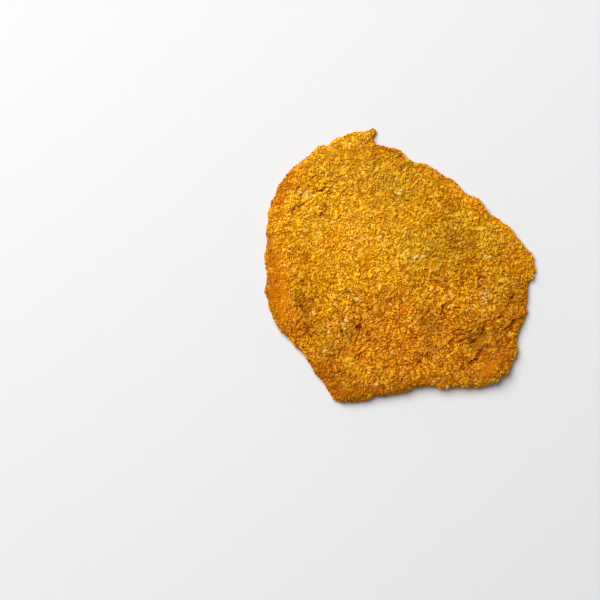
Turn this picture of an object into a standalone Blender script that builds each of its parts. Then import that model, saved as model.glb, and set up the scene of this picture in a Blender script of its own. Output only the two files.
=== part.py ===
"""A breaded schnitzel: one thin, uneven cutlet in a crumb coat, lying flat on its underside.

Run it with: blender --background --python part.py

Lengths are in millimetres until the mesh is made, and +Z is up. The origin lies on the surface that the
schnitzel rests on, under the middle of its outline. Both faces are height fields over one flat net of
triangles, and they meet along the rim, which is half a thickness above the surface.
"""

import math
from typing import NamedTuple

import bmesh
import bpy
import numpy as np
from mathutils import Vector, noise
from mathutils.geometry import delaunay_2d_cdt, interpolate_bezier

METRES_PER_MM = 0.001

# Driving dimensions, in millimetres.
THICKNESS = 7.4  # in the middle, crumb coat included
RIM_HEIGHT = 2.3  # of the line where the two faces meet, above the surface
TOP_ROUNDING = 9.5  # width of the rounded band round the upper face
UNDER_ROUNDING = 4.2  # and round the lower face
CONTACT_DEPTH = 0.3  # how far the soft underside has settled on the surface

# Spacing of the net, in millimetres.
RIM_STEP = 2.2
NET_STEP = 3.6
BAND_INSETS = (0.5, 1.6, 3.4)  # extra rows of points along the rim, where the faces curve most
CURVE_STEPS = 12  # points on each stretch of the smooth outline, before it is spaced evenly
LEAST_GAP = 0.85  # share of a row's inset that a point has to keep from the rim
KEEP_INSIDE = 1  # what the triangle finder returns: the triangles inside the rim, and no others
SAME_POINT = 1e-6

# The outline, clockwise from the notch at the upper left, as x and y in millimetres.
OUTLINE = (
    (-54.1, 63.8),  # notch at the upper left
    (-48.4, 70.0),
    (-41.8, 71.0),
    (-39.4, 74.0),
    (-35.4, 76.5),  # shoulder below the tag
    (-29.0, 78.6),
    (-21.5, 79.2),
    (-17.1, 80.9),  # tag, a thin flap that stands out of the far edge
    (-13.2, 78.9),
    (-15.2, 75.2),
    (-14.9, 71.9),  # foot of the tag
    (-11.8, 70.9),
    (-8.5, 70.6),
    (-0.1, 66.9),
    (8.6, 61.7),
    (20.6, 56.9),
    (29.9, 50.3),
    (38.2, 43.3),
    (43.9, 40.7),
    (50.4, 33.3),
    (66.5, 20.0),
    (72.9, 11.7),
    (78.2, 6.7),
    (79.4, 0.3),  # right end
    (78.0, -6.3),
    (75.1, -11.0),
    (74.2, -26.3),
    (68.7, -38.9),
    (68.1, -50.1),
    (65.4, -58.2),
    (58.9, -64.9),  # lower right corner
    (52.4, -68.9),
    (44.6, -70.3),
    (29.4, -70.7),
    (18.4, -70.0),
    (10.8, -70.2),
    (-1.2, -73.6),
    (-14.8, -76.4),
    (-27.7, -79.4),  # lowest lobe
    (-36.2, -78.0),
    (-46.4, -67.6),
    (-54.6, -55.6),
    (-64.4, -43.6),
    (-72.6, -34.4),
    (-77.4, -22.4),
    (-78.8, -7.0),  # left side, which is nearly straight
    (-78.6, 13.1),
    (-76.6, 30.0),
    (-73.2, 42.0),
    (-65.2, 54.6),
)

# Fine unevenness of the outline, in millimetres: the size of its bumps and how far they stand out.
WOBBLES = ((9.0, 1.1), (4.0, 0.6))


class Swell(NamedTuple):
    """A smooth oval hill, or a hollow where rise is below nought."""

    x: float
    y: float
    long: float  # half-length
    wide: float  # half-width
    turn: float  # degrees from +X to its length
    rise: float


UPPER_RELIEF = (
    Swell(81.0, -12.0, 46.0, 22.0, 90.0, -2.4),  # the slice thins out towards its right end
    Swell(-16.0, 81.0, 14.0, 8.0, 20.0, -2.6),  # and at the tag
    Swell(-66.5, -10.0, 27.0, 5.0, 94.0, 1.1),  # ridge inside the left edge
    Swell(-54.8, -19.0, 27.0, 5.2, 100.0, -1.9),  # furrow beside it
    Swell(-67.0, 42.0, 10.0, 6.5, 70.0, -0.9),  # dip at the upper left
    Swell(-57.0, 27.0, 15.0, 11.0, 80.0, 0.7),
    Swell(-22.0, 15.0, 34.0, 22.0, 20.0, 1.3),  # broad hill left of the middle
    Swell(-34.0, 50.0, 22.0, 9.0, 25.0, -0.7),
    Swell(8.0, 44.0, 18.0, 9.0, -30.0, 0.6),
    Swell(33.5, 3.0, 27.0, 8.5, 112.0, -1.2),  # valley across the right half
    Swell(57.5, 8.0, 15.0, 9.5, -50.0, 0.7),
    Swell(45.0, -20.0, 13.0, 9.0, 20.0, 1.1),
    Swell(44.5, -46.0, 15.0, 5.5, 32.0, -1.9),  # crease inside the lower right corner
    Swell(56.0, -56.0, 13.0, 5.0, 28.0, 1.0),  # rolled edge outside it
    Swell(-23.0, -31.0, 15.0, 7.0, 30.0, -1.1),
    Swell(13.0, -31.0, 17.0, 6.0, 32.0, -1.0),
    Swell(-2.0, -54.0, 24.0, 10.0, 8.0, 0.8),
    Swell(-41.0, -62.0, 12.0, 6.0, -48.0, -1.1),  # dent in the lower left
)

UNDER_RELIEF = (
    Swell(-40.0, 22.0, 26.0, 13.0, 60.0, 0.9),
    Swell(-30.0, -42.0, 20.0, 11.0, -35.0, 0.8),
    Swell(28.0, 20.0, 24.0, 12.0, -40.0, 0.9),
    Swell(38.0, -34.0, 20.0, 11.0, 25.0, 1.0),
)

# Places near the rim where the whole slice stands higher off the surface, or lower.
LIFTS = (
    Swell(-15.0, 82.0, 13.0, 9.0, 20.0, -1.2),  # tag, which lies flat
    Swell(-84.0, 4.0, 24.0, 9.0, 90.0, 1.5),  # left side
    Swell(62.0, -70.0, 20.0, 13.0, -25.0, 2.7),  # lower right corner, which curls up
    Swell(20.0, -76.0, 26.0, 10.0, 0.0, 2.4),  # near side
    Swell(48.0, 44.0, 16.0, 8.0, -40.0, 1.2),
)


def clear_scene() -> None:
    """Removes every object, so that only the schnitzel is left."""
    for thing in list(bpy.data.objects):
        bpy.data.objects.remove(thing, do_unlink=True)


def smooth_loop(corners: tuple[tuple[float, float], ...]) -> np.ndarray:
    """Points of a smooth closed curve through the corners, with a Bezier stretch between each two."""
    points = [Vector(corner) for corner in corners]
    count = len(points)
    loop = []
    for i in range(count):
        before, start, end, after = (points[(i + k) % count] for k in (-1, 0, 1, 2))
        reach = (end - start).length / 3
        leave = start + (end - before).normalized() * reach
        arrive = end - (after - start).normalized() * reach
        loop += interpolate_bezier(start, leave, arrive, end, CURVE_STEPS + 1)[:-1]
    return np.array([point[:2] for point in loop])


def evenly_spaced(loop: np.ndarray, step: float) -> np.ndarray:
    """The same closed curve with its points about one step apart."""
    closed = np.vstack([loop, loop[:1]])
    travelled = np.concatenate([[0.0], np.cumsum(np.linalg.norm(np.diff(closed, axis=0), axis=1))])
    count = round(travelled[-1] / step)
    stops = np.arange(count) * travelled[-1] / count
    return np.stack([np.interp(stops, travelled, closed[:, k]) for k in (0, 1)], axis=1)


def inward_normals(loop: np.ndarray) -> np.ndarray:
    """Unit vectors that point into a clockwise loop, one at each point."""
    along = np.roll(loop, -1, axis=0) - np.roll(loop, 1, axis=0)
    inward = np.stack([along[:, 1], -along[:, 0]], axis=1)
    return inward / np.linalg.norm(inward, axis=1, keepdims=True)


def wobble(point: np.ndarray) -> float:
    """How far in the rim lies at this point, next to the smooth outline."""
    return sum(depth * noise.noise(Vector((*point, size)) / size) for size, depth in WOBBLES)


def rim_loop() -> np.ndarray:
    """The uneven outline of the schnitzel, centred on the origin."""
    loop = evenly_spaced(smooth_loop(OUTLINE), RIM_STEP)
    shift = np.array([wobble(point) for point in loop])
    loop = loop + inward_normals(loop) * shift[:, None]
    return loop - (loop.min(axis=0) + loop.max(axis=0)) / 2


def distance_to_rim(points: np.ndarray, rim: np.ndarray) -> np.ndarray:
    """Each point's distance to the nearest stretch of the rim."""
    start = rim[None]
    side = np.roll(rim, -1, axis=0)[None] - start
    reach = points[:, None] - start
    share = np.clip((reach * side).sum(axis=2) / (side * side).sum(axis=2), 0, 1)
    return np.linalg.norm(reach - share[..., None] * side, axis=2).min(axis=1)


def inside_rim(points: np.ndarray, rim: np.ndarray) -> np.ndarray:
    """Whether each point lies inside the rim, by counting the sides to the right of it."""
    x, y = points[:, :1], points[:, 1:]
    x0, y0 = rim[:, 0], rim[:, 1]
    x1, y1 = np.roll(x0, -1), np.roll(y0, -1)
    spans = (y0 > y) != (y1 > y)
    rise = np.where(y1 == y0, 1.0, y1 - y0)
    crossing = x0 + (y - y0) / rise * (x1 - x0)
    return (spans & (crossing > x)).sum(axis=1) % 2 == 1


def net_points(rim: np.ndarray) -> np.ndarray:
    """The rim's points, then rows that follow it, then a honeycomb grid over the rest."""
    rows = [rim]
    inward = inward_normals(rim)
    for inset in BAND_INSETS:
        row = rim + inward * inset
        clear = distance_to_rim(row, rim) > LEAST_GAP * inset
        rows.append(row[clear & inside_rim(row, rim)])
    low, high = rim.min(axis=0), rim.max(axis=0)
    row_gap = NET_STEP * math.sqrt(3) / 2
    levels = np.arange(low[1], high[1], row_gap)
    grid = np.array(
        [
            (x + (level % 2) * NET_STEP / 2, y)
            for level, y in enumerate(levels)
            for x in np.arange(low[0], high[0], NET_STEP)
        ]
    )
    clear = distance_to_rim(grid, rim) > BAND_INSETS[-1] + NET_STEP / 2
    rows.append(grid[clear & inside_rim(grid, rim)])
    return np.vstack(rows)


def triangles_of(points: np.ndarray, rim_count: int) -> list[tuple[int, int, int]]:
    """Triangles between the points, inside the rim, which is the first rim_count of them."""
    sides = [(i, (i + 1) % rim_count) for i in range(rim_count)]
    corners = [Vector(point) for point in points]
    _, _, faces, sources, _, _ = delaunay_2d_cdt(corners, sides, [], KEEP_INSIDE, SAME_POINT)
    return [tuple(sources[k][0] for k in face) for face in faces]


def relief(points: np.ndarray, swells: tuple[Swell, ...]) -> np.ndarray:
    """The height that the swells add at each point."""
    height = np.zeros(len(points))
    for swell in swells:
        turn = math.radians(swell.turn)
        x, y = points[:, 0] - swell.x, points[:, 1] - swell.y
        along = (x * math.cos(turn) + y * math.sin(turn)) / swell.long
        across = (y * math.cos(turn) - x * math.sin(turn)) / swell.wide
        height += swell.rise * np.exp(-(along**2) - across**2)
    return height


def rounded(inset: np.ndarray, width: float) -> np.ndarray:
    """Nought at the rim and one past the rounded band, along a quarter circle."""
    return np.sqrt(1 - (1 - np.clip(inset / width, 0, 1)) ** 2)


def face_heights(points: np.ndarray, rim: np.ndarray) -> tuple[np.ndarray, np.ndarray]:
    """Heights of the upper and the lower face at each point. They are equal at the rim."""
    inset = distance_to_rim(points, rim)
    inset[: len(rim)] = 0.0
    lift = relief(points, LIFTS)
    edge = RIM_HEIGHT + lift
    under = np.maximum(0.0, relief(points, UNDER_RELIEF) + lift - CONTACT_DEPTH)
    upper = THICKNESS + lift + relief(points, UPPER_RELIEF)
    top = edge + (upper - edge) * rounded(inset, TOP_ROUNDING)
    bottom = edge + (under - edge) * rounded(inset, UNDER_ROUNDING)
    return top, bottom


def crumb_coat_material() -> bpy.types.Material:
    """Golden orange breadcrumbs."""
    material = bpy.data.materials.new("crumb_coat")
    material.use_nodes = True
    shader = material.node_tree.nodes["Principled BSDF"]
    shader.inputs["Base Color"].default_value = (0.60, 0.25, 0.015, 1.0)
    shader.inputs["Roughness"].default_value = 0.75
    shader.inputs["Metallic"].default_value = 0.0
    return material


def make_schnitzel() -> bpy.types.Object:
    """The whole schnitzel as one closed solid."""
    rim = rim_loop()
    points = net_points(rim)
    triangles = triangles_of(points, len(rim))
    top, bottom = face_heights(points, rim)

    shape = bmesh.new()
    upper = [shape.verts.new((x, y, z)) for (x, y), z in zip(points, top)]
    lower = upper[: len(rim)]
    lower += [shape.verts.new((x, y, z)) for (x, y), z in zip(points[len(rim) :], bottom[len(rim) :])]
    for a, b, c in triangles:
        shape.faces.new((upper[a], upper[b], upper[c]))
        shape.faces.new((lower[c], lower[b], lower[a]))
    bmesh.ops.scale(shape, vec=Vector((METRES_PER_MM,) * 3), verts=shape.verts)

    mesh = bpy.data.meshes.new("schnitzel")
    shape.to_mesh(mesh)
    shape.free()
    mesh.shade_smooth()
    mesh.materials.append(crumb_coat_material())
    schnitzel = bpy.data.objects.new("schnitzel", mesh)
    bpy.context.scene.collection.objects.link(schnitzel)
    return schnitzel


def main() -> None:
    """Clears the scene and makes the schnitzel."""
    clear_scene()
    make_schnitzel()


main()
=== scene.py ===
"""Looks of one breaded schnitzel: spiced batter, the breadcrumbs bedded in it, and a plain studio.

Lengths are in millimetres until a mesh, a lamp or the camera is made, which take metres. +Z is up,
and the schnitzel lies on z = 0. The batter follows the solid of the frame, a crumb's depth further
in, and the crumbs fill that depth, so the whole stays within the solid's own size.
"""

import logging
import math
from abc import ABC, abstractmethod
from dataclasses import dataclass, field
from enum import Enum

import bmesh
import bpy
import numpy as np
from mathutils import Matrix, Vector, noise


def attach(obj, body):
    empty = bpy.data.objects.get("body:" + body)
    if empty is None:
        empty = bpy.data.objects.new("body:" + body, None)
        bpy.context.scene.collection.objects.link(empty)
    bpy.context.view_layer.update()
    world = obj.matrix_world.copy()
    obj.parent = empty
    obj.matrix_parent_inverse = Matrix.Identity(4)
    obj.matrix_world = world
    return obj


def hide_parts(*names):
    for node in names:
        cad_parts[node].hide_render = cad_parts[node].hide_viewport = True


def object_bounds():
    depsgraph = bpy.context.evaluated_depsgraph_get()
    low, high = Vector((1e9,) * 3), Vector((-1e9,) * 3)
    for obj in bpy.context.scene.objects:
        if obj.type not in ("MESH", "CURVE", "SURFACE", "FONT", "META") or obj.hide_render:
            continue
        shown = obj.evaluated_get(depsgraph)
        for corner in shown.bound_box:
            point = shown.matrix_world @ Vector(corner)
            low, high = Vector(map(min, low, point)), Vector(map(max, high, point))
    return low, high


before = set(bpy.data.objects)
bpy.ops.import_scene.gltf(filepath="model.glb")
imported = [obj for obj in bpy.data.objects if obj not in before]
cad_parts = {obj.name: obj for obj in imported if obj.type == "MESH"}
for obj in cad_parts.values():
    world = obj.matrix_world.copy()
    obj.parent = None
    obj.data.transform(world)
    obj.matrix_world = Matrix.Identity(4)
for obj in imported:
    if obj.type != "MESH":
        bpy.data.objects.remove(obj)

log = logging.getLogger("schnitzel")

CAD_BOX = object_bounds()

NODE = "schnitzel"
BODY = "root"

MM = 0.001
BAKE_MAP = "OFBake"  # the map of this name gives each crumb a square of its own

# Numbers that each corner of a crumb keeps for its material, besides those of the zones.
LOT = "lot"  # where the crumb's colour lies between the brownest and the palest
CROWN = "crown"  # nought at the foot of the crumb, and one at its top, where the crumbs get a painted highlight

# Places of a Mix node's colour sockets, whose names its number and vector sockets share.
MIX_FACTOR, MIX_A, MIX_B, MIX_RESULT = 0, 6, 7, 2


def linear(colour: str) -> tuple[float, float, float, float]:
    """Turns an sRGB hex colour to linear light.

    Args:
        colour: six hex digits after a hash.

    Returns:
        Red, green, blue and an alpha of one.
    """
    parts = (int(colour[i : i + 2], 16) / 255 for i in (1, 3, 5))
    light = (c / 12.92 if c <= 0.04045 else ((c + 0.055) / 1.055) ** 2.4 for c in parts)
    return (*light, 1.0)


def add_node(
    tree: bpy.types.NodeTree,
    kind: str,
    inputs: dict | None = None,
    stops: tuple[tuple[float, str], ...] = (),
    **settings: object,
) -> bpy.types.Node:
    """Adds a node with its settings and links.

    Args:
        tree: the node tree it goes in.
        kind: Blender's name for the node's type.
        inputs: for an input's name or number, a value for it or the output socket that feeds it.
        stops: places and colours along a colour ramp, where the node has one.
        settings: values of the node's own properties.

    Returns:
        The new node.
    """
    made = tree.nodes.new(kind)
    for name, value in settings.items():
        setattr(made, name, value)
    for name, value in (inputs or {}).items():
        if isinstance(value, bpy.types.NodeSocket):
            tree.links.new(value, made.inputs[name])
        else:
            made.inputs[name].default_value = value
    for i, (place, colour) in enumerate(stops):
        ramp = made.color_ramp.elements
        stop = ramp[i] if i < len(ramp) else ramp.new(place)
        stop.position = place
        stop.color = linear(colour)
    return made


def noise_at(places: np.ndarray, size: float, seed: float) -> np.ndarray:
    """Smooth noise between about -1 and 1.

    Args:
        places: points, in millimetres.
        size: the width of a bump, in millimetres.
        seed: shifts the noise, so that two patterns differ.

    Returns:
        One number a point.
    """
    shifted = places / size + seed
    return np.array([noise.noise(Vector(p)) for p in shifted])


@dataclass(frozen=True)
class Bumps:
    """One size of a smooth, random pattern."""

    width: float
    height: float
    seed: float


def pattern(places: np.ndarray, bumps: tuple[Bumps, ...]) -> np.ndarray:
    """The height of the bumps of every size together, at each point."""
    return sum(bump.height * noise_at(places, bump.width, bump.seed) for bump in bumps)


def unit(vectors: np.ndarray) -> np.ndarray:
    """The same vectors, one unit long."""
    return vectors / np.maximum(np.linalg.norm(vectors, axis=-1, keepdims=True), 1e-12)


def within_box(places: np.ndarray) -> np.ndarray:
    """The same points, none of them outside the solid's box."""
    low, high = (np.array(corner) / MM for corner in CAD_BOX)
    return np.clip(places, low, high)


def read_vertices(mesh: bpy.types.Mesh) -> tuple[np.ndarray, np.ndarray]:
    """Reads a mesh's vertices.

    Args:
        mesh: the mesh.

    Returns:
        Their places, in millimetres, and which way the surface faces there.
    """
    places = np.empty(len(mesh.vertices) * 3, np.float32)
    normals = np.empty(len(mesh.vertices) * 3, np.float32)
    mesh.vertices.foreach_get("co", places)
    mesh.vertex_normals.foreach_get("vector", normals)
    return places.reshape(-1, 3).astype(float) / MM, normals.reshape(-1, 3).astype(float)


def flat_metres(places: np.ndarray) -> np.ndarray:
    """The same points in metres, as one row of numbers for a mesh to take."""
    return (places * MM).astype(np.float32).ravel()


# How far the coat stands out or in, in millimetres.
RELIEF = (
    Bumps(20.0, 0.7, 1.7),
    Bumps(10.0, 0.6, 3.3),
    Bumps(5.5, 0.55, 5.2),
    Bumps(3.0, 0.5, 9.4),
)

# How much paler or browner its crumbs are, as a share of the whole range of their colours.
TONES = (
    Bumps(24.0, 0.1, 35.3),
    Bumps(12.0, 0.14, 38.9),
    Bumps(7.0, 0.18, 41.5),
    Bumps(4.0, 0.2, 44.1),
    Bumps(2.4, 0.2, 47.7),
)


@dataclass(frozen=True)
class Creases:
    """Narrow, winding gaps between clumps of crumbs, which run where a pattern passes nought."""

    path: tuple[Bumps, ...] = (Bumps(3.6, 1.0, 61.3), Bumps(1.8, 0.4, 64.9))
    width: float = 0.09  # how far the pattern is from nought at a gap's side
    breaks: tuple[Bumps, ...] = (Bumps(7.0, 2.2, 67.1),)
    opening: float = 0.45  # how open the gaps are before they are broken up

    def share(self, places: np.ndarray) -> np.ndarray:
        """How much of a gap each point has, from nought to one."""
        opened = np.clip(self.opening + pattern(places, self.breaks), 0, 1)
        return np.exp(-((pattern(places, self.path) / self.width) ** 2)) * opened


PATCH_FADE = 1.5  # over one, a patch is flatter in its middle and ends more sharply


@dataclass(frozen=True)
class Patch:
    """An oval place on the upper face, which fades towards its edge."""

    x: float
    y: float
    long: float  # half-length
    wide: float  # half-width
    turn: float  # degrees from +X to its length
    strength: float  # below nought, the patch takes away from those around it

    def share(self, places: np.ndarray) -> np.ndarray:
        """How much of the patch each point has.

        Args:
            places: points, in millimetres.

        Returns:
            One number a point, up to the patch's strength in its middle.
        """
        turn = math.radians(self.turn)
        x, y = places[:, 0] - self.x, places[:, 1] - self.y
        along = (x * math.cos(turn) + y * math.sin(turn)) / self.long
        across = (y * math.cos(turn) - x * math.sin(turn)) / self.wide
        return self.strength * np.exp(-((along**2 + across**2) ** PATCH_FADE))


class Zone(Enum):
    """What the coat is like from place to place. A zone's value names it on the meshes."""

    PASTE = "paste"  # wet, smooth and orange, with its crumbs sunk in
    SHADED_CRACK = "crack"  # deep gaps, darkened with painted shade
    ORANGE = "orange"  # crumbs stained by the spice in the paste
    OLIVE = "olive"  # greenish crumbs
    DULL_AND_SHADED = "dull"  # darker, browner crumbs, and painted shade along the rims that turn away from the lamp
    GOLD = "gold"  # brighter, yellower crumbs
    PALE = "pale"  # crumbs that took up no spice
    COARSE = "coarse"  # coarse crumbs that stand out


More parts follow.
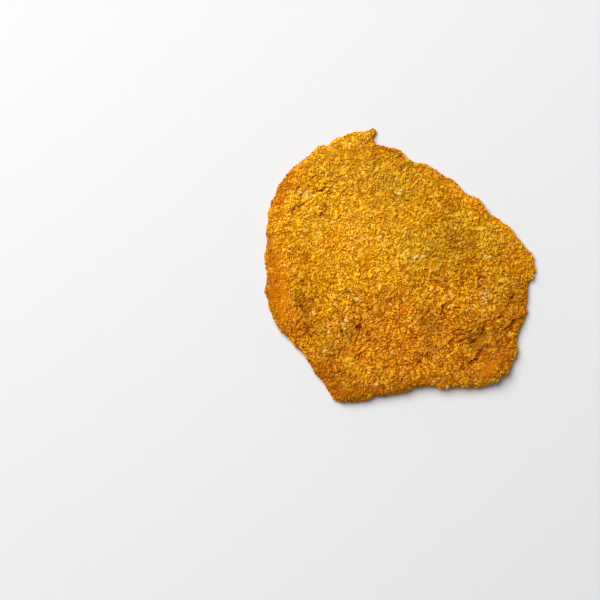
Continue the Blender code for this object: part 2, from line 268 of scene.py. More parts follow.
PATCHES: dict[Zone, tuple[Patch, ...]] = {
    Zone.PASTE: (
        Patch(-72.0, -10.0, 30.0, 8.0, 97.0, 0.6),
        Patch(-66.0, -26.0, 9.0, 5.0, 110.0, 0.4),
        Patch(-69.5, 43.0, 12.0, 4.0, 62.0, 0.4),
        Patch(56.5, -56.5, 12.5, 5.0, 26.0, 1.0),
        Patch(49.0, -61.5, 8.0, 3.0, 30.0, 0.7),
        Patch(-50.0, -62.0, 8.0, 3.5, -50.0, 0.6),
        Patch(-24.0, -75.0, 12.0, 4.0, 0.0, 0.6),
        Patch(38.0, 40.0, 14.0, 3.5, -44.0, 0.3),
        Patch(-8.0, -71.0, 34.0, 4.0, 3.0, 0.5),
        Patch(71.5, -28.0, 16.0, 4.0, 80.0, 0.5),
        Patch(46.0, -42.0, 7.0, 5.0, 20.0, 0.9),
        Patch(-18.0, 8.0, 6.0, 3.0, 30.0, 0.6),
        Patch(2.0, -27.0, 9.0, 5.0, 60.0, 0.4),
        Patch(-28.0, 64.0, 16.0, 6.0, 8.0, 0.5),
    ),
    Zone.SHADED_CRACK: (
        Patch(-45.5, 42.0, 6.5, 0.9, 28.0, 1.0),
        Patch(-57.5, 36.5, 3.5, 0.9, 10.0, 0.9),
        Patch(-62.0, 34.0, 3.0, 0.9, 60.0, 0.8),
        Patch(-42.0, 34.0, 3.0, 1.0, 70.0, 0.8),
        Patch(-45.0, 29.0, 2.5, 0.9, 20.0, 0.7),
        Patch(-25.0, -23.5, 3.5, 1.1, 20.0, 0.9),
        Patch(-25.5, -37.5, 3.0, 1.3, 70.0, 1.0),
        Patch(-32.5, -37.5, 2.5, 1.0, -20.0, 0.7),
        Patch(-57.5, -23.0, 6.0, 1.2, 105.0, 0.6),
        Patch(20.0, -5.0, 2.5, 1.1, 0.0, 0.6),
        Patch(30.0, 9.0, 2.5, 1.1, 60.0, 0.6),
        Patch(22.5, -28.5, 2.5, 1.2, 80.0, 0.8),
        Patch(40.0, -7.0, 2.5, 1.1, 20.0, 0.7),
        Patch(35.5, -43.5, 2.5, 1.1, 40.0, 0.7),
        Patch(42.5, -43.0, 3.0, 1.4, 30.0, 0.9),
        Patch(43.0, -53.5, 5.0, 1.4, 25.0, 1.0),
        Patch(49.0, -49.5, 4.0, 1.2, 35.0, 0.8),
        Patch(37.5, -59.5, 4.0, 1.2, 20.0, 0.8),
        Patch(49.0, -36.5, 3.0, 1.2, 60.0, 0.7),
        Patch(55.0, -31.0, 3.5, 1.1, 30.0, 0.8),
        Patch(64.5, -36.0, 3.0, 1.2, 80.0, 0.8),
        Patch(64.5, -20.5, 4.0, 1.2, 70.0, 0.8),
    ),
    Zone.ORANGE: (
        Patch(61.0, -32.0, 26.0, 11.0, 78.0, 0.7),
        Patch(50.0, -59.0, 12.0, 5.0, 25.0, 0.4),
        Patch(-64.0, -2.0, 18.0, 10.0, 95.0, 0.5),
        Patch(71.0, 8.0, 12.0, 10.0, 90.0, 0.4),
        Patch(-10.0, 72.0, 16.0, 8.0, 0.0, 0.4),
        Patch(-62.0, -34.0, 13.0, 7.0, 112.0, 0.6),
        Patch(-73.0, -10.0, 28.0, 6.0, 97.0, 0.3),
        Patch(-4.0, -44.0, 34.0, 18.0, 8.0, 0.5),
        Patch(6.0, -46.0, 64.0, 30.0, 4.0, 0.5),
        Patch(42.0, 42.0, 34.0, 6.0, -42.0, 0.5),
        Patch(-10.0, -23.0, 12.0, 9.0, 0.0, 0.5),
        Patch(-63.0, -36.0, 9.0, 9.0, 0.0, 0.4),
        Patch(-77.0, -8.0, 16.0, 4.0, 92.0, 0.3),
        Patch(-36.0, -36.0, 7.0, 6.0, 0.0, 0.3),
        Patch(34.0, -48.0, 9.0, 7.0, 0.0, 0.4),
        Patch(8.0, -64.0, 12.0, 5.0, 0.0, 0.3),
        Patch(-42.0, -65.0, 16.0, 7.0, -45.0, 0.8),
        Patch(-70.0, 42.0, 15.0, 7.0, 62.0, 0.5),
        Patch(40.0, -22.0, 8.0, 5.0, 10.0, 0.4),
        Patch(-30.0, 18.0, 16.0, 10.0, 0.0, 0.45),
        Patch(-49.0, 57.0, 12.0, 7.0, 45.0, 0.25),
    ),
    Zone.OLIVE: (
        Patch(9.0, 9.0, 10.0, 9.0, 0.0, 0.12),
        Patch(26.0, 4.0, 14.0, 12.0, -30.0, 0.1),
        Patch(-30.0, 64.0, 22.0, 8.0, 5.0, 0.15),
        Patch(-24.0, 49.0, 20.0, 8.0, 0.0, 0.18),
        Patch(-47.0, 61.0, 8.0, 5.0, 40.0, 0.12),
        Patch(0.0, 46.0, 13.0, 8.0, -25.0, 0.22),
        Patch(-8.0, 32.0, 16.0, 15.0, 90.0, 0.12),
        Patch(-49.0, 22.0, 8.0, 6.0, 0.0, 0.1),
        Patch(57.0, 19.0, 13.0, 7.0, -40.0, 0.15),
        Patch(6.0, 57.0, 10.0, 4.0, -35.0, 0.15),
        Patch(-39.0, -49.0, 10.0, 6.0, -35.0, 0.35),
        Patch(-31.0, -41.0, 6.0, 4.0, 10.0, 0.4),
        Patch(15.0, -36.0, 5.0, 8.0, 10.0, 0.25),
        Patch(22.0, -47.0, 6.0, 4.0, 0.0, 0.2),
        Patch(47.0, -44.0, 9.0, 8.0, 30.0, 0.35),
        Patch(49.0, -17.0, 7.0, 5.0, 0.0, 0.15),
        Patch(-56.0, -26.0, 5.0, 4.0, 0.0, 0.2),
    ),
    Zone.GOLD: (
        Patch(-18.0, 14.0, 32.0, 15.0, -12.0, 0.85),
        Patch(0.0, -34.0, 9.0, 7.0, 0.0, 0.5),
        Patch(45.0, -27.0, 9.0, 6.0, 0.0, 0.6),
        Patch(-35.0, 1.0, 9.0, 6.0, 0.0, 0.6),
        Patch(-28.0, 43.0, 9.0, 6.0, 0.0, 0.5),
        Patch(38.0, 41.0, 10.0, 4.0, -44.0, 0.5),
        Patch(-49.0, -33.0, 6.0, 5.0, 0.0, 0.5),
        Patch(-50.0, 26.0, 12.0, 12.0, 0.0, 0.7),
        Patch(-62.0, -13.0, 12.0, 5.0, 97.0, 0.8),
        Patch(58.0, 18.0, 13.0, 7.0, -45.0, 0.6),
        Patch(-8.0, 36.0, 12.0, 9.0, 0.0, 0.5),
        Patch(-35.0, 60.0, 10.0, 5.0, 30.0, 0.4),
        Patch(-28.0, -8.0, 15.0, 7.0, 0.0, 0.45),
        Patch(49.0, -20.0, 8.0, 6.0, 0.0, 0.6),
        Patch(-7.0, -35.0, 9.0, 7.0, 0.0, 0.5),
        Patch(-7.0, 18.0, 8.0, 8.0, 0.0, 0.4),
    ),
    # Darker, browner crumbs; the patches along the right and lower rims, which turn away from the
    # lamp, are painted shade.
    Zone.DULL_AND_SHADED: (
        Patch(36.0, 6.0, 19.0, 11.0, -20.0, 0.4),
        Patch(8.0, -8.0, 9.0, 7.0, 0.0, 0.35),
        Patch(-12.0, 71.0, 18.0, 8.0, 0.0, 0.4),
        Patch(34.0, 20.0, 20.0, 10.0, -50.0, 0.7),
        Patch(8.0, -42.0, 50.0, 26.0, 0.0, 0.4),
        Patch(-8.0, -20.0, 10.0, 8.0, 0.0, 0.4),
        Patch(-64.0, -38.0, 9.0, 10.0, 90.0, 0.6),
        Patch(52.0, -34.0, 34.0, 20.0, 80.0, 0.5),
        Patch(63.0, -32.0, 30.0, 7.0, 80.0, 0.5),
        Patch(42.0, -49.0, 12.0, 5.0, 30.0, 0.5),
        Patch(-54.0, -22.0, 20.0, 5.0, 106.0, 0.7),
        Patch(-42.0, -65.0, 19.0, 9.0, -45.0, 1.0),
        Patch(-14.0, -74.0, 26.0, 6.0, 4.0, 0.8),
        Patch(20.0, -69.0, 44.0, 8.0, 2.0, 0.6),
        Patch(30.0, 43.0, 30.0, 6.0, -42.0, 0.3),
        Patch(-76.0, -6.0, 32.0, 6.0, 92.0, 0.7),
        Patch(-71.0, 43.0, 15.0, 6.0, 62.0, 0.4),
        Patch(-7.0, 60.0, 15.0, 9.0, 0.0, 0.5),
        Patch(22.0, 45.0, 17.0, 11.0, -60.0, 0.35),
        Patch(17.0, 3.0, 14.0, 10.0, 0.0, 0.4),
        Patch(-60.0, 52.0, 14.0, 8.0, 50.0, 0.3),
        Patch(-33.0, -70.0, 13.0, 7.0, -15.0, 0.5),
        Patch(57.0, 9.0, 9.0, 9.0, 0.0, 0.3),
        Patch(35.0, -9.0, 9.0, 7.0, 0.0, 0.3),
        Patch(45.0, -27.0, 10.0, 6.0, 0.0, -0.4),
        Patch(0.0, -34.0, 10.0, 7.0, 0.0, -0.4),
        Patch(42.0, -47.0, 8.0, 5.0, 0.0, -0.5),
        Patch(14.0, 17.0, 12.0, 8.0, 0.0, 0.35),
        Patch(-46.0, -40.0, 14.0, 8.0, -35.0, 0.25),
        Patch(19.0, -31.0, 11.0, 7.0, 0.0, 0.35),
        Patch(-52.0, -4.0, 14.0, 8.0, 100.0, 0.15),
        Patch(-17.0, -30.0, 9.0, 6.0, 0.0, 0.25),
        Patch(70.0, -13.0, 10.0, 6.0, 90.0, 0.25),
        Patch(2.0, 36.0, 8.0, 7.0, 0.0, 0.25),
        Patch(49.0, -56.0, 9.0, 4.0, 25.0, 0.3),
        Patch(-14.0, -12.0, 7.0, 5.0, 0.0, -0.4),
        Patch(38.0, 40.0, 10.0, 4.0, -44.0, -0.4),
        Patch(2.0, -27.0, 6.0, 4.0, 60.0, -0.3),
        Patch(15.0, -50.0, 6.0, 5.0, 0.0, 0.5),
        Patch(71.5, -28.0, 9.0, 4.0, 80.0, 0.3),
    ),
    Zone.PALE: (
        Patch(47.5, -18.4, 2.2, 1.6, 20.0, 1.0),
        Patch(23.6, -31.8, 2.0, 1.6, 80.0, 1.0),
        Patch(-54.5, 41.7, 4.5, 1.3, -20.0, 1.0),
        Patch(0.3, 43.4, 2.0, 1.6, 40.0, 0.9),
        Patch(50.4, -41.1, 2.2, 1.5, -10.0, 1.0),
        Patch(8.5, 6.1, 1.8, 1.6, 0.0, 0.7),
        Patch(-43.4, -49.8, 3.0, 1.6, -30.0, 0.8),
        Patch(-23.6, -18.9, 2.0, 1.6, 60.0, 0.8),
        Patch(-21.5, 71.0, 4.0, 1.6, 40.0, 0.4),
        Patch(-31.5, -34.0, 2.5, 1.8, 80.0, 0.8),
        Patch(40.5, -23.6, 2.2, 1.8, 0.0, 0.8),
        Patch(25.9, -24.2, 2.5, 1.8, 30.0, 0.7),
        Patch(-16.6, -66.8, 3.0, 1.6, 10.0, 0.6),
        Patch(48.7, 4.4, 2.4, 1.6, -60.0, 0.7),
        Patch(-64.4, -21.9, 3.0, 2.2, 90.0, 0.6),
    ),
    Zone.COARSE: (
        Patch(-24.0, -27.0, 22.0, 12.0, 10.0, 1.0),
        Patch(22.0, -22.0, 30.0, 14.0, 10.0, 1.0),
        Patch(54.0, -20.0, 22.0, 20.0, 60.0, 0.8),
        Patch(-46.0, 42.0, 16.0, 10.0, 30.0, 0.6),
        Patch(0.0, -45.0, 70.0, 32.0, 0.0, 0.7),
    ),
}

# How much the edge of a zone frays.
FRAY = {
    Zone.PASTE: 0.9,
    Zone.SHADED_CRACK: 0.5,
    Zone.ORANGE: 1.0,
    Zone.OLIVE: 1.0,
    Zone.DULL_AND_SHADED: 0.7,
    Zone.GOLD: 0.7,
    Zone.PALE: 0.5,
    Zone.COARSE: 1.0,
}

# The zones that the materials read. The others shape the coat, or colour a whole crumb.
READ_ZONES = (Zone.PASTE, Zone.SHADED_CRACK, Zone.ORANGE, Zone.OLIVE, Zone.DULL_AND_SHADED)


@dataclass(frozen=True)
class Zoning:
    """Finds the zones that a point of the coat lies in.

    Noise bends and frays the patches and adds spots between them. The rim and the underside, which
    have no patches, get batter and spice of their own, and gaps run everywhere.
    """

    bend_width: float = 9.0
    bend_seeds: tuple[float, float, float] = (3.1, 7.7, 0.0)
    bend_reach: tuple[float, float, float] = (3.5, 3.5, 0.0)  # along X, Y and Z
    fray_width: float = 4.5
    fray_seed: float = 12.3
    spot_width: float = 11.0
    spot_seed: float = 21.9
    spot_edge: float = 0.3  # how strong the noise is at a spot's edge
    olive_spots: float = 0.2
    dull_spots: float = 0.5
    upper_gain: float = 2.5  # how soon the upper face begins as the coat turns up
    side_gain: float = 2.0  # how soon the rim ends as the coat turns up or down
    side_full: float = 1.4  # over one, as the rim is whole for a while
    side_paste: float = 0.45
    side_orange: float = 0.5
    wiped_gain: float = 2.2  # how sharp the bare places of the underside are
    wiped_base: float = 0.25  # and how bare it is between them
    under_paste: float = 0.7
    under_orange: float = 0.4
    gaps: float = 0.35
    coarse_gaps: float = 0.3  # how much more the gaps show where the crumbs are coarse
    creases: Creases = field(default_factory=Creases)

    def shares(self, places: np.ndarray, normals: np.ndarray) -> dict[Zone, np.ndarray]:
        """Finds how much of each zone the coat has at each point.

        Args:
            places: points on the coat, in millimetres.
            normals: which way the coat faces there.

        Returns:
            For each zone, one number a point from nought to one.
        """
        bend = [noise_at(places, self.bend_width, seed) for seed in self.bend_seeds]
        bent = places + np.stack(bend, axis=1) * self.bend_reach
        fray = noise_at(places, self.fray_width, self.fray_seed)
        spots = noise_at(places, self.spot_width, self.spot_seed)
        upward = normals[:, 2]
        upper = np.clip(upward * self.upper_gain + 0.5, 0, 1)
        side = np.clip(self.side_full - np.abs(upward) * self.side_gain, 0, 1)
        wiped = (1 - upper) * np.clip(spots * self.wiped_gain + self.wiped_base, 0, 1)
        shares = {}
        for zone, patches in PATCHES.items():
            own = sum(patch.share(bent) for patch in patches) * upper
            shares[zone] = np.clip(own * (1 + FRAY[zone] * fray), 0, 1)
        shares[Zone.PASTE] += self.side_paste * side * (1 + fray)
        shares[Zone.PASTE] += self.under_paste * wiped
        shares[Zone.ORANGE] += self.side_orange * side
        shares[Zone.ORANGE] += self.under_orange * (1 - upper)
        shares[Zone.OLIVE] += self.olive_spots * np.clip(spots - self.spot_edge, 0, 1)
        shares[Zone.DULL_AND_SHADED] += self.dull_spots * np.clip(-spots - self.spot_edge, 0, 1)
        # The gaps join the crack zone: they are cut deeper, and darkened with painted shade.
        gaps = self.gaps + self.coarse_gaps * shares[Zone.COARSE]
        shares[Zone.SHADED_CRACK] += gaps * self.creases.share(places)
        return {zone: np.clip(share, 0, 1) for zone, share in shares.items()}


ZONING = Zoning()


def store(mesh: bpy.types.Mesh, name: str, values: np.ndarray) -> None:
    """Keeps one number a vertex under this name, for the materials to read."""
    mesh.attributes.new(name, "FLOAT", "POINT").data.foreach_set("value", values.astype(np.float32))


class Blend(Enum):
    """How a tint is put over a colour. Its value is Blender's name for it."""

    MIX = "MIX"
    MULTIPLY = "MULTIPLY"


@dataclass(frozen=True)
class Tint:
    """What a zone does to the colour of whatever lies in it."""

    zone: Zone
    colour: str
    blend: Blend

    def over(self, tree: bpy.types.NodeTree, colour: bpy.types.NodeSocket) -> bpy.types.NodeSocket:
        """Changes a colour within the zone.

        Args:
            tree: the material's node tree.
            colour: the colour before.

        Returns:
            The colour after.
        """
        share = add_node(tree, "ShaderNodeAttribute", attribute_name=self.zone.value)
        changed = add_node(
            tree,
            "ShaderNodeMix",
            {MIX_FACTOR: share.outputs["Fac"], MIX_A: colour, MIX_B: linear(self.colour)},
            data_type="RGBA",
            blend_type=self.blend.value,
        )
        return changed.outputs[MIX_RESULT]


TINTS = (
    Tint(Zone.OLIVE, "#a8902c", Blend.MIX),
    Tint(Zone.ORANGE, "#fce2b4", Blend.MULTIPLY),
    # Partly browner crumbs, partly painted shade along the right and lower rims, away from the
    # lamp.
    Tint(Zone.DULL_AND_SHADED, "#d4c4a4", Blend.MULTIPLY),
    # Painted shade: the crack zone darkens the batter and the crumbs in the gaps, on top of their
    # real depth.
    Tint(Zone.SHADED_CRACK, "#a05a30", Blend.MULTIPLY),
)


@dataclass(frozen=True)
class Slope:
    """How a shade follows a number: it goes from one value to another as the number rises."""

    start: float
    end: float
    shade_at_start: float
    shade_at_end: float


@dataclass(frozen=True)
class Finish(ABC):
    """A matt, grainy food surface, whose colour follows its grain and the zones."""

    name: str
    roughness: float
    shine: float  # as a share of the specular level's whole range
    grain: float  # width of its specks
    grain_detail: float
    grain_harshness: float
    bump: float
    bump_depth: float = 0.3
    ior: float = 1.45

    @abstractmethod
    def colour(self, tree: bpy.types.NodeTree, grain: bpy.types.NodeSocket) -> bpy.types.NodeSocket:
        """Makes the surface's colour.

        Args:
            tree: the material's node tree.
            grain: how bright each speck is.

        Returns:
            The colour.
        """

    def material(self) -> bpy.types.Material:
        """Makes the material.

        Returns:
            The material.
        """
        made = bpy.data.materials.new(self.name)
        made.use_nodes = True
        tree = made.node_tree
        shader = tree.nodes["Principled BSDF"]
        grain = add_node(
            tree,
            "ShaderNodeTexNoise",
            {
                "Vector": add_node(tree, "ShaderNodeTexCoord").outputs["Object"],
                "Scale": 1 / (self.grain * MM),
                "Detail": self.grain_detail,
                "Roughness": self.grain_harshness,
            },
        ).outputs["Fac"]
        bump = add_node(
            tree,
            "ShaderNodeBump",
            {"Height": grain, "Distance": self.bump_depth * MM, "Strength": self.bump},
        )
        tree.links.new(self.colour(tree, grain), shader.inputs["Base Color"])
        tree.links.new(bump.outputs["Normal"], shader.inputs["Normal"])
        shader.inputs["Roughness"].default_value = self.roughness
        shader.inputs["IOR"].default_value = self.ior
        shader.inputs["Specular IOR Level"].default_value = self.shine
        return made


@dataclass(frozen=True)
class BatterFinish(Finish):
    """Batter of egg, flour and spiced oil: a soft, wet binder, wiped on by hand.

    It gives the eye the deep orange between the crumbs, and a dull surface where it lies bare. Its
    specks are the crumb dust that sticks to it.
    """

    name: str = "spiced_batter"
    roughness: float = 0.5
    shine: float = 0.02
    grain: float = 0.9
    grain_detail: float = 4.0
    grain_harshness: float = 0.65
    bump: float = 0.8
    bare: str = "#ec9c0a"
    dusted: tuple[tuple[float, str], ...] = ((0.3, "#983e00"), (0.5, "#c67a00"), (0.7, "#e8a000"))
    dust_on_bare: float = 0.35  # how much of the dust's colour shows through where it lies bare

    def colour(self, tree: bpy.types.NodeTree, grain: bpy.types.NodeSocket) -> bpy.types.NodeSocket:
        """Makes the batter's colour.

        Args:
            tree: the material's node tree.
            grain: how bright each speck of dust is.

        Returns:
            The colour.
        """
        dusted = add_node(tree, "ShaderNodeValToRGB", {"Fac": grain}, stops=self.dusted)
        bare = add_node(
            tree,
            "ShaderNodeMix",
            {
                MIX_FACTOR: self.dust_on_bare,
                MIX_A: linear(self.bare),
                MIX_B: dusted.outputs["Color"],
            },
            data_type="RGBA",
        )
        paste = add_node(tree, "ShaderNodeAttribute", attribute_name=Zone.PASTE.value)
        colour = add_node(
            tree,
            "ShaderNodeMix",
            {
                MIX_FACTOR: paste.outputs["Fac"],
                MIX_A: dusted.outputs["Color"],
                MIX_B: bare.outputs[MIX_RESULT],
            },
            data_type="RGBA",
        ).outputs[MIX_RESULT]
        for tint in TINTS:
            colour = tint.over(tree, colour)
        return colour


@dataclass(frozen=True)
class CrumbFinish(Finish):
    """Dried wheat breadcrumbs, ground and sieved, coloured with paprika and turmeric.

    They give the eye matt, gritty grains whose yellow varies from one to the next. Each is paler
    and
    yellower at its top than at its foot: partly real drying at the top and soaking at the foot,
    partly a painted highlight on the top.
    """

    name: str = "spiced_breadcrumb"
    roughness: float = 0.65
    shine: float = 0.01
    grain: float = 0.75
    grain_detail: float = 2.0
    grain_harshness: float = 0.6
    bump: float = 0.3
    lots: tuple[tuple[float, str], ...] = (
        (0.0, "#9c4a00"),
        (0.2, "#c67000"),
        (0.4, "#e89e00"),
        (0.6, "#f4b400"),
        (0.8, "#fac20a"),
        (1.0, "#eeba60"),
    )
    soaked: Tint = Tint(Zone.PASTE, "#ec9c00", Blend.MIX)
    plain: str = "#ecc064"
    plain_from: float = 0.9  # crumbs of a lot beyond this took up no spice
    crown_highlight_share: float = 0.25  # how much a crumb's height adds to its dryness and its painted highlight, next to its flecks
    brightness: Slope = Slope(0.32, 0.68, 0.79, 1.07)  # brighter where a fleck is
    purity: Slope = Slope(0.73, 0.93, 1.0, 0.81)  # paler where it is drier, and on its top as a painted highlight
    hue: Slope = Slope(0.4, 0.8, 0.475, 0.5085)  # and yellower, on its top too as a painted highlight

    def colour(self, tree: bpy.types.NodeTree, grain: bpy.types.NodeSocket) -> bpy.types.NodeSocket:
        """Makes the crumbs' colour.

        Args:
            tree: the material's node tree.
            grain: how bright each fleck is.

        Returns:
            The colour.
        """
        lot = add_node(tree, "ShaderNodeAttribute", attribute_name=LOT).outputs["Fac"]
        crown = add_node(tree, "ShaderNodeAttribute", attribute_name=CROWN).outputs["Fac"]
        ramp = add_node(tree, "ShaderNodeValToRGB", {"Fac": lot}, stops=self.lots)
        spiced = ramp.outputs["Color"]
        for tint in (self.soaked, *TINTS):
            spiced = tint.over(tree, spiced)
        is_plain = add_node(
            tree, "ShaderNodeMath", {0: lot, 1: self.plain_from}, operation="GREATER_THAN"
        )
        colour = add_node(
            tree,
            "ShaderNodeMix",
            {MIX_FACTOR: is_plain.outputs[0], MIX_A: spiced, MIX_B: linear(self.plain)},
            data_type="RGBA",
        ).outputs[MIX_RESULT]
        # Painted highlight: a crumb's top counts as drier, so that it turns paler and yellower
        # there.
        dry_and_lit = add_node(
            tree,
            "ShaderNodeMath",
            {0: crown, 1: self.crown_highlight_share, 2: grain},
            operation="MULTIPLY_ADD",
        ).outputs[0]
        inputs = {"Color": colour}
        for name, number, slope in (
            ("Value", grain, self.brightness),
            ("Saturation", dry_and_lit, self.purity),
            ("Hue", dry_and_lit, self.hue),
        ):
            inputs[name] = add_node(
                tree,
                "ShaderNodeMapRange",
                {
                    "Value": number,
                    "From Min": slope.start,
                    "From Max": slope.end,
                    "To Min": slope.shade_at_start,
                    "To Max": slope.shade_at_end,
                },
            ).outputs["Result"]
        return add_node(tree, "ShaderNodeHueSaturation", inputs).outputs["Color"]


@dataclass
class Coat:
    """The batter coat that holds the crumbs. It stands for the frame's solid."""

    voxel: float = 0.78
    evening: float = 0.5  # how far each round of smoothing goes
    evening_rounds: int = 8
    crumb_room: float = 0.75  # depth under the solid's surface that is left to the crumbs
    filled: float = 0.55  # share of that depth that batter fills where it lies bare
    calm: float = 0.45  # how much flatter its relief is there
    crack_depth: float = 0.9
    finish: Finish = field(default_factory=BatterFinish)

    def remeshed(self) -> bpy.types.Mesh:
        """Makes the frame's solid into an even net of small faces, smoothed.

        Returns:
            The net.
        """
        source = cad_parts[NODE]
        guide = bpy.data.objects.new("coat_guide", source.data.copy())
        bpy.context.scene.collection.objects.link(guide)
        net = guide.modifiers.new("net", "REMESH")
        net.mode = "VOXEL"
        net.voxel_size = self.voxel * MM
        even = guide.modifiers.new("even", "SMOOTH")
        even.factor = self.evening
        even.iterations = self.evening_rounds
        seen = guide.evaluated_get(bpy.context.evaluated_depsgraph_get())
        mesh = bpy.data.meshes.new_from_object(seen)
        bpy.data.objects.remove(guide, do_unlink=True)
        return mesh

    def build(self) -> bpy.types.Object:
        """Makes the coat.

        Returns:
            The coat, dressed and riding on its body.
        """
        mesh = self.remeshed()
        places, normals = read_vertices(mesh)
        shares = ZONING.shares(places, normals)
        rise = pattern(places, RELIEF) * (1 - self.calm * shares[Zone.PASTE])
        depth = self.crumb_room * (1 - self.filled * shares[Zone.PASTE])
        depth += self.crack_depth * shares[Zone.SHADED_CRACK]
        places = within_box(places + normals * (rise - depth)[:, None])
        mesh.vertices.foreach_set("co", flat_metres(places))
        mesh.update()
        mesh.shade_smooth()
        for zone in READ_ZONES:
            store(mesh, zone.value, shares[zone])
        mesh.materials.clear()
        mesh.materials.append(self.finish.material())
        piece = bpy.data.objects.new("batter_coat", mesh)
        bpy.context.scene.collection.objects.link(piece)
        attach(piece, BODY)
        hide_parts(NODE)
        return piece


@dataclass(frozen=True)
class Surface:
    """The coat as arrays, for laying crumbs on it."""

    corners: np.ndarray  # places of each triangle's three corners
    normals: np.ndarray  # and which way the coat faces there
    areas: np.ndarray

    @classmethod
    def of(cls, coat: bpy.types.Object) -> "Surface":
        """Reads the coat's mesh.

        Args:
            coat: the finished coat.

        Returns:
            Its surface.
        """
        mesh = coat.data
        mesh.calc_loop_triangles()
        places, normals = read_vertices(mesh)
        triangles = np.empty(len(mesh.loop_triangles) * 3, np.int32)
        mesh.loop_triangles.foreach_get("vertices", triangles)
        triangles = triangles.reshape(-1, 3)
        corners = places[triangles]
        across = np.cross(corners[:, 1] - corners[:, 0], corners[:, 2] - corners[:, 0])
        return cls(corners, normals[triangles], np.linalg.norm(across, axis=1) / 2)

    def spots(self, count: int, rng: np.random.Generator) -> tuple[np.ndarray, np.ndarray]:
        """Picks random spots, as many to each square millimetre everywhere.

        Args:
            count: how many.
            rng: where the random numbers come from.

        Returns:
            Their places and the way the coat faces there.
        """
        which = rng.choice(len(self.areas), count, p=self.areas / self.areas.sum())
        a, b = np.sqrt(rng.random(count)), rng.random(count)
        weights = np.stack([1 - a, a * (1 - b), a * b], axis=1)[:, :, None]
        places = (self.corners[which] * weights).sum(axis=1)
        return places, unit((self.normals[which] * weights).sum(axis=1))


@dataclass(frozen=True)
class CrumbKind:
    """One sieve size of crumb."""

    name: str
    smallest: float
    largest: float
    flatness: float  # thickness as a share of its width
    corners: int
    count: int
    apart: float  # about how far apart they lie
    lift: float  # height of its middle over the coat, as a share of its thickness
    tilt: float  # degrees, mostly
    seed: int
    coarse: bool = False


CRUMB_KINDS = (
    CrumbKind("coarse_crumbs", 1.5, 2.4, 0.6, 11, 6000, 2.0, 0.3, 28.0, 41, coarse=True),
    CrumbKind("flake_crumbs", 1.8, 3.2, 0.35, 12, 3500, 2.9, 0.35, 24.0, 59, coarse=True),
    CrumbKind("medium_crumbs", 1.0, 1.5, 0.65, 9, 13000, 1.4, 0.35, 32.0, 37),
    CrumbKind("fine_crumbs", 0.70, 1.05, 0.7, 7, 19500, 1.1, 0.4, 38.0, 23),
    CrumbKind("dust_crumbs", 0.40, 0.75, 0.75, 6, 24500, 0.9, 0.4, 48.0, 11),
)


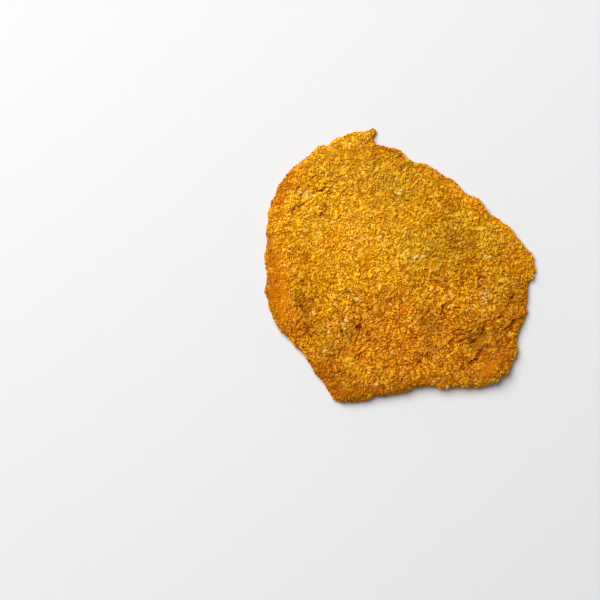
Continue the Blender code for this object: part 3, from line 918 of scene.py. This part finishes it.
@dataclass
class Crumbs:
    """All the crumbs of one kind, as one mesh."""

    kind: CrumbKind

    # Their shapes. A crumb's size is its width, and the spans below are shares of it.
    shapes: int = 40  # different shapes of crumb
    reach: tuple[float, float] = (0.32, 0.62)  # from a crumb's middle to its corners
    small_bias: float = 1.5  # over one, there are more small crumbs than large ones
    length: tuple[float, float] = (1.0, 1.7)
    width: tuple[float, float] = (0.6, 0.95)
    thickness: tuple[float, float] = (0.75, 1.3)  # and of the kind's own flatness
    spacing_rounds: int = 30  # rounds that drive a shape's corners apart
    spacing_step: float = 0.03
    spacing_limit: float = 0.05  # squared gap below which the push grows no more

    # Where they lie.
    tries: int = 5  # spots tried for each crumb
    off_paste: float = 0.75  # share of them that is missing where the batter lies bare
    off_cracks: float = 0.9  # and over a crack
    underneath: float = 0.6  # share of them that the underside has
    downward: float = -0.5  # how far down the coat faces where that starts
    scattered: float = 0.5  # share of the coarse ones that lie outside the coarse zone
    clump_size: float = 4.0  # width of a clump, as a multiple of how far apart they lie
    clump_seed: float = 0.37  # times the kind's own
    clump_mean: float = 0.85
    clump_swing: float = 1.2
    clump_least: float = 0.2

    # How they are bedded.
    order: float = 0.6  # how rough the bedding is where the crumbs aren't coarse
    sway: float = 0.5  # how much of the kind's tilt a typical crumb has
    bedding: tuple[float, float] = (-0.2, 0.25)  # how much lower or higher than its kind one lies
    sunk: float = 0.8  # how much of its height it loses where the batter lies bare

    # Their colours, as shares of the whole range from the brownest crumb to the palest.
    tone: float = 0.55  # where the middling crumb lies
    tone_spread: float = 0.13  # how far the others lie from it
    coarse_spread: float = 0.08  # and how much further where the crumbs are coarse
    gold_tone: float = 0.2  # how much yellower they are where the coat is golden
    coarse_tone: float = 0.14  # how much paler the coarse ones are in a coarse zone
    between_tone: float = -0.6  # and how much browner the rest there, as a share of that
    hollow_shade_tone: float = 0.12  # painted light and shade: how much paler a crumb is for each millimetre that it stands higher on the coat's bumps, and so browner in its hollows
    palest: float = 0.85
    plain_lot: float = 1.0
    plain: float = 0.012  # share of the coarse ones that took up no spice, and stayed pale

    map_reach: float = 0.42  # from the middle of a crumb's square on the map to its foot

    def evenly_round(self, rng: np.random.Generator) -> np.ndarray:
        """Spreads one crumb's corners evenly over a ball.

        Args:
            rng: where the random numbers come from.

        Returns:
            The corners, one unit from its middle.
        """
        ball = unit(rng.normal(size=(self.kind.corners, 3)))
        for _ in range(self.spacing_rounds):
            gaps = ball[:, None] - ball[None]
            squared = np.maximum((gaps**2).sum(axis=2, keepdims=True), self.spacing_limit)
            push = gaps / squared**1.5  # as strong as the gap's inverse square
            ball = unit(ball + self.spacing_step * push.sum(axis=1))
        return ball

    def templates(self, rng: np.random.Generator) -> tuple[np.ndarray, np.ndarray]:
        """Makes the different shapes.

        Args:
            rng: where the random numbers come from.

        Returns:
            Corners of each shape, about half a unit from its middle, and its triangles.
        """
        corners, triangles = [], []
        while len(corners) < self.shapes:
            ball = self.evenly_round(rng)
            shape = bmesh.new()
            for corner in ball:
                shape.verts.new(corner)
            bmesh.ops.convex_hull(shape, input=shape.verts)
            shape.verts.index_update()
            bmesh.ops.recalc_face_normals(shape, faces=shape.faces)
            faces = [[v.index for v in face.verts] for face in shape.faces]
            shape.free()
            whole = 2 * self.kind.corners - 4  # the triangles of any closed net of these corners
            if len(faces) != whole:  # a corner was lost inside
                continue
            corners.append(ball * rng.uniform(*self.reach, (self.kind.corners, 1)))
            triangles.append(faces)
        return np.array(corners), np.array(triangles)

    def spots(self, surface: Surface, rng: np.random.Generator) -> tuple[np.ndarray, np.ndarray]:
        """Finds a spot for each crumb, fewer where the batter lies bare and underneath.

        Args:
            surface: the coat.
            rng: where the random numbers come from.

        Returns:
            Their places and the way the coat faces there.
        """
        kind = self.kind
        spots, normals = surface.spots(kind.count * self.tries, rng)
        shares = ZONING.shares(spots, normals)
        below = np.where(normals[:, 2] < self.downward, self.underneath, 1.0)
        likely = (1 - self.off_paste * shares[Zone.PASTE]) * below
        likely *= 1 - self.off_cracks * shares[Zone.SHADED_CRACK]
        if kind.coarse:
            likely *= self.scattered + (1 - self.scattered) * shares[Zone.COARSE]
        clump = noise_at(spots, self.clump_size * kind.apart, kind.seed * self.clump_seed)
        likely *= np.clip(self.clump_mean + self.clump_swing * clump, self.clump_least, 1.0)
        keep = rng.random(len(spots)) < likely
        spots, normals = spots[keep], normals[keep]
        cells = np.floor(spots / kind.apart).astype(int)
        _, first = np.unique(cells, axis=0, return_index=True)  # one crumb to a cell
        first = rng.permutation(first)[: kind.count]
        return spots[first], normals[first]

    def bedded(
        self,
        local: np.ndarray,
        spots: np.ndarray,
        normals: np.ndarray,
        shares: dict[Zone, np.ndarray],
        rng: np.random.Generator,
    ) -> np.ndarray:
        """Gives each crumb its size and beds it in the coat.

        Args:
            local: each crumb's corners about its middle, for a crumb of one unit.
            spots: where each crumb lies.
            normals: which way the coat faces there.
            shares: the zones there.
            rng: where the random numbers come from.

        Returns:
            The places of the corners, crumb after crumb.
        """
        kind, count = self.kind, len(spots)
        size = rng.uniform(0, 1, count) ** self.small_bias
        size = kind.smallest + (kind.largest - kind.smallest) * size
        stretch = np.stack(
            [
                size * rng.uniform(*self.length, count),
                size * rng.uniform(*self.width, count),
                size * kind.flatness * rng.uniform(*self.thickness, count),
            ],
            axis=1,
        )
        rough = self.order + (1 - self.order) * shares[Zone.COARSE]
        sway = rough * math.tan(math.radians(kind.tilt)) * self.sway
        lean = unit(normals + rng.normal(size=(count, 3)) * sway[:, None])
        side = unit(np.cross(lean, rng.normal(size=(count, 3))))
        turn = np.stack([side, np.cross(lean, side), lean], axis=1)
        lift = stretch[:, 2] * (kind.lift + rng.uniform(*self.bedding, count) * rough)
        lift *= 1 - self.sunk * shares[Zone.PASTE]
        middle = spots + normals * lift[:, None]
        turned = np.einsum("nvk,nkc->nvc", local * stretch[:, None, :], turn)
        return within_box((middle[:, None, :] + turned).reshape(-1, 3))

    def net(self, places: np.ndarray, faces: np.ndarray) -> bpy.types.Mesh:
        """Makes the mesh.

        Args:
            places: the places of the corners.
            faces: the corner at each corner of each triangle, as one row.

        Returns:
            The mesh, with flat faces.
        """
        mesh = bpy.data.meshes.new(self.kind.name)
        mesh.vertices.add(len(places))
        mesh.vertices.foreach_set("co", flat_metres(places))
        mesh.loops.add(len(faces))
        mesh.loops.foreach_set("vertex_index", faces.astype(np.int32))
        mesh.polygons.add(len(faces) // 3)
        mesh.polygons.foreach_set("loop_start", np.arange(0, len(faces), 3, dtype=np.int32))
        mesh.update(calc_edges=True)
        mesh.validate()
        mesh.shade_flat()
        return mesh

    def lots(
        self, spots: np.ndarray, shares: dict[Zone, np.ndarray], rng: np.random.Generator
    ) -> np.ndarray:
        """Picks each crumb's own colour.

        Args:
            spots: where each crumb lies.
            shares: the zones there.
            rng: where the random numbers come from.

        Returns:
            One number a crumb, from the brownest at nought to those without spice at one.
        """
        kind = self.kind
        # Painted shade: crumbs in the coat's hollows are browner, those on its bumps paler.
        tone = pattern(spots, TONES) + self.hollow_shade_tone * pattern(spots, RELIEF)
        tone += self.gold_tone * shares[Zone.GOLD]
        tone += self.coarse_tone * shares[Zone.COARSE] * (1.0 if kind.coarse else self.between_tone)
        spread = self.tone_spread + self.coarse_spread * shares[Zone.COARSE]
        lot = np.clip(self.tone + tone + spread * rng.normal(size=len(spots)), 0, self.palest)
        plain = self.plain * kind.coarse
        lot[rng.random(len(spots)) < plain + shares[Zone.PALE]] = self.plain_lot
        return lot

    def lay_out(self, mesh: bpy.types.Mesh, local: np.ndarray, faces: np.ndarray) -> None:
        """Gives each crumb a square of its own on the bake map.

        The crumb is spread out round its top like a peeled skin.

        Args:
            mesh: the crumbs.
            local: each crumb's corners about its middle.
            faces: the corner at each corner of each triangle, as one row.
        """
        number = np.arange(len(local))
        across = math.ceil(math.sqrt(len(local)))
        way = unit(local)
        from_top = np.arccos(np.clip(way[:, :, 2:], -1, 1)) / math.pi
        spot = 0.5 + self.map_reach * from_top * unit(way[:, :, :2])
        cell = np.stack([number % across, number // across], axis=1)
        uv = ((cell[:, None, :] + spot) / across).reshape(-1, 2)
        layer = mesh.uv_layers.new(name=BAKE_MAP)
        layer.uv.foreach_set("vector", uv[faces].astype(np.float32).ravel())

    def build(self, surface: Surface, material: bpy.types.Material) -> bpy.types.Object:
        """Makes the crumbs.

        Args:
            surface: the coat they lie on.
            material: what they are made of.

        Returns:
            The piece, dressed and riding on its body.
        """
        kind = self.kind
        rng = np.random.default_rng(kind.seed)
        corners, triangles = self.templates(rng)
        spots, normals = self.spots(surface, rng)
        shares = ZONING.shares(spots, normals)
        which = rng.integers(self.shapes, size=len(spots))
        local = corners[which]
        first_corners = np.arange(len(spots)) * kind.corners
        faces = (triangles[which] + first_corners[:, None, None]).reshape(-1)
        mesh = self.net(self.bedded(local, spots, normals, shares, rng), faces)
        store(mesh, LOT, np.repeat(self.lots(spots, shares, rng), kind.corners))
        store(mesh, CROWN, np.clip(0.5 + local[:, :, 2], 0, 1).reshape(-1))
        for zone in READ_ZONES:
            store(mesh, zone.value, np.repeat(shares[zone], kind.corners))
        self.lay_out(mesh, local, faces)
        mesh.materials.append(material)
        piece = bpy.data.objects.new(kind.name, mesh)
        bpy.context.scene.collection.objects.link(piece)
        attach(piece, BODY)
        return piece


@dataclass(frozen=True)
class BoardFinish:
    """Matt white display board, pressed and uncoated. It gives the eye a plain, pale ground."""

    colour: str = "#dededf"
    roughness: float = 0.8

    def material(self) -> bpy.types.Material:
        """Makes the material.

        Returns:
            The material.
        """
        made = bpy.data.materials.new("matt_white_board")
        made.use_nodes = True
        shader = made.node_tree.nodes["Principled BSDF"]
        shader.inputs["Base Color"].default_value = linear(self.colour)
        shader.inputs["Roughness"].default_value = self.roughness
        return made


@dataclass
class Studio:
    """A pale floor that curves up all round, one soft lamp, a weak fill and the camera."""

    floor_flat: float = 2200.0  # how far the floor runs before it curves up
    floor_bend: float = 800.0  # radius of the curve, which ends upright
    floor_drop: float = 0.02  # how far it lies below the schnitzel
    floor_turns: int = 96
    floor_steps: int = 16
    floor_finish: BoardFinish = field(default_factory=BoardFinish)
    lamp_way: tuple[float, float, float] = (-0.43, 0.48, 0.77)  # from the schnitzel to the lamp
    lamp_far: float = 2800.0
    lamp_wide: float = 2200.0
    lamp_watts: float = 119.0
    lamp_colour: str = "#f7fbff"
    fill: float = 0.18
    fill_colour: str = "#ffedce"  # warmed by what it has bounced off
    frame_width: float = 350.0  # how much of the floor the camera takes in
    lens: float = 85.0
    sensor: float = 36.0
    aim: tuple[float, float] = (-58.3, -20.4)  # where the camera looks straight down
    nearest: float = 10.0  # what the camera still sees in front of it

    def floor_mesh(self) -> bpy.types.Mesh:
        """Makes the floor's flat middle as one face, and the curve round it as rings of faces.

        Returns:
            The mesh.
        """
        turns = self.floor_turns
        round_it = np.linspace(0, 2 * math.pi, turns, endpoint=False)
        lean = np.linspace(0, math.pi / 2, self.floor_steps + 1)[:, None]
        out = self.floor_flat + self.floor_bend * np.sin(lean)
        up = self.floor_bend * (1 - np.cos(lean)) - self.floor_drop + 0 * round_it
        rings = np.stack([out * np.cos(round_it), out * np.sin(round_it), up], axis=2)
        faces = [tuple(range(turns))]
        for i in range(self.floor_steps * turns):
            beside = i // turns * turns + (i + 1) % turns
            faces.append((i + turns, beside + turns, beside, i))
        mesh = bpy.data.meshes.new("floor")
        mesh.from_pydata((rings.reshape(-1, 3) * MM).tolist(), [], faces)
        mesh.polygons.foreach_set("use_smooth", [False] + [True] * (len(faces) - 1))
        return mesh

    def lay_floor(self) -> None:
        """Makes the floor."""
        mesh = self.floor_mesh()
        mesh.materials.append(self.floor_finish.material())
        floor = bpy.data.objects.new("floor", mesh)
        bpy.context.scene.collection.objects.link(floor)

    def light(self) -> None:
        """Makes the lamp and the fill light."""
        lamp = bpy.data.lights.new("softbox", "AREA")
        lamp.shape = "DISK"
        lamp.size = self.lamp_wide * MM
        lamp.energy = self.lamp_watts
        lamp.color = linear(self.lamp_colour)[:3]
        softbox = bpy.data.objects.new("softbox", lamp)
        way = Vector(self.lamp_way).normalized()
        softbox.location = way * self.lamp_far * MM
        softbox.rotation_euler = way.to_track_quat("Z", "Y").to_euler()
        bpy.context.scene.collection.objects.link(softbox)

        sky = bpy.data.worlds.new("fill")
        sky.use_nodes = True
        back = sky.node_tree.nodes["Background"]
        back.inputs["Color"].default_value = linear(self.fill_colour)
        back.inputs["Strength"].default_value = self.fill
        bpy.context.scene.world = sky

    def set_camera(self) -> None:
        """Makes the camera, which looks straight down."""
        eye = bpy.data.cameras.new("camera")
        eye.lens = self.lens
        eye.sensor_width = self.sensor
        eye.clip_start = self.nearest * MM
        camera = bpy.data.objects.new("camera", eye)
        height = self.frame_width * self.lens / self.sensor
        camera.location = Vector((*self.aim, height)) * MM
        bpy.context.scene.collection.objects.link(camera)
        bpy.context.scene.camera = camera

    def build(self) -> None:
        """Makes the whole studio."""
        bpy.context.scene.view_settings.view_transform = "Standard"
        self.lay_floor()
        self.light()
        self.set_camera()


def main() -> None:
    """Builds the coat, each kind of crumb and the studio, and reports each piece."""
    logging.basicConfig(level=logging.INFO, format="%(name)s: %(message)s")
    coat = Coat().build()
    log.info("%s: %d faces", coat.name, len(coat.data.polygons))
    surface = Surface.of(coat)
    crumb = CrumbFinish().material()
    for kind in CRUMB_KINDS:
        piece = Crumbs(kind).build(surface, crumb)
        crumbs = len(piece.data.vertices) // kind.corners
        log.info("%s: %d crumbs, %d faces", piece.name, crumbs, len(piece.data.polygons))
    Studio().build()
    log.info("studio: floor, lamp, fill light and camera")


if __name__ == "__main__":
    main()
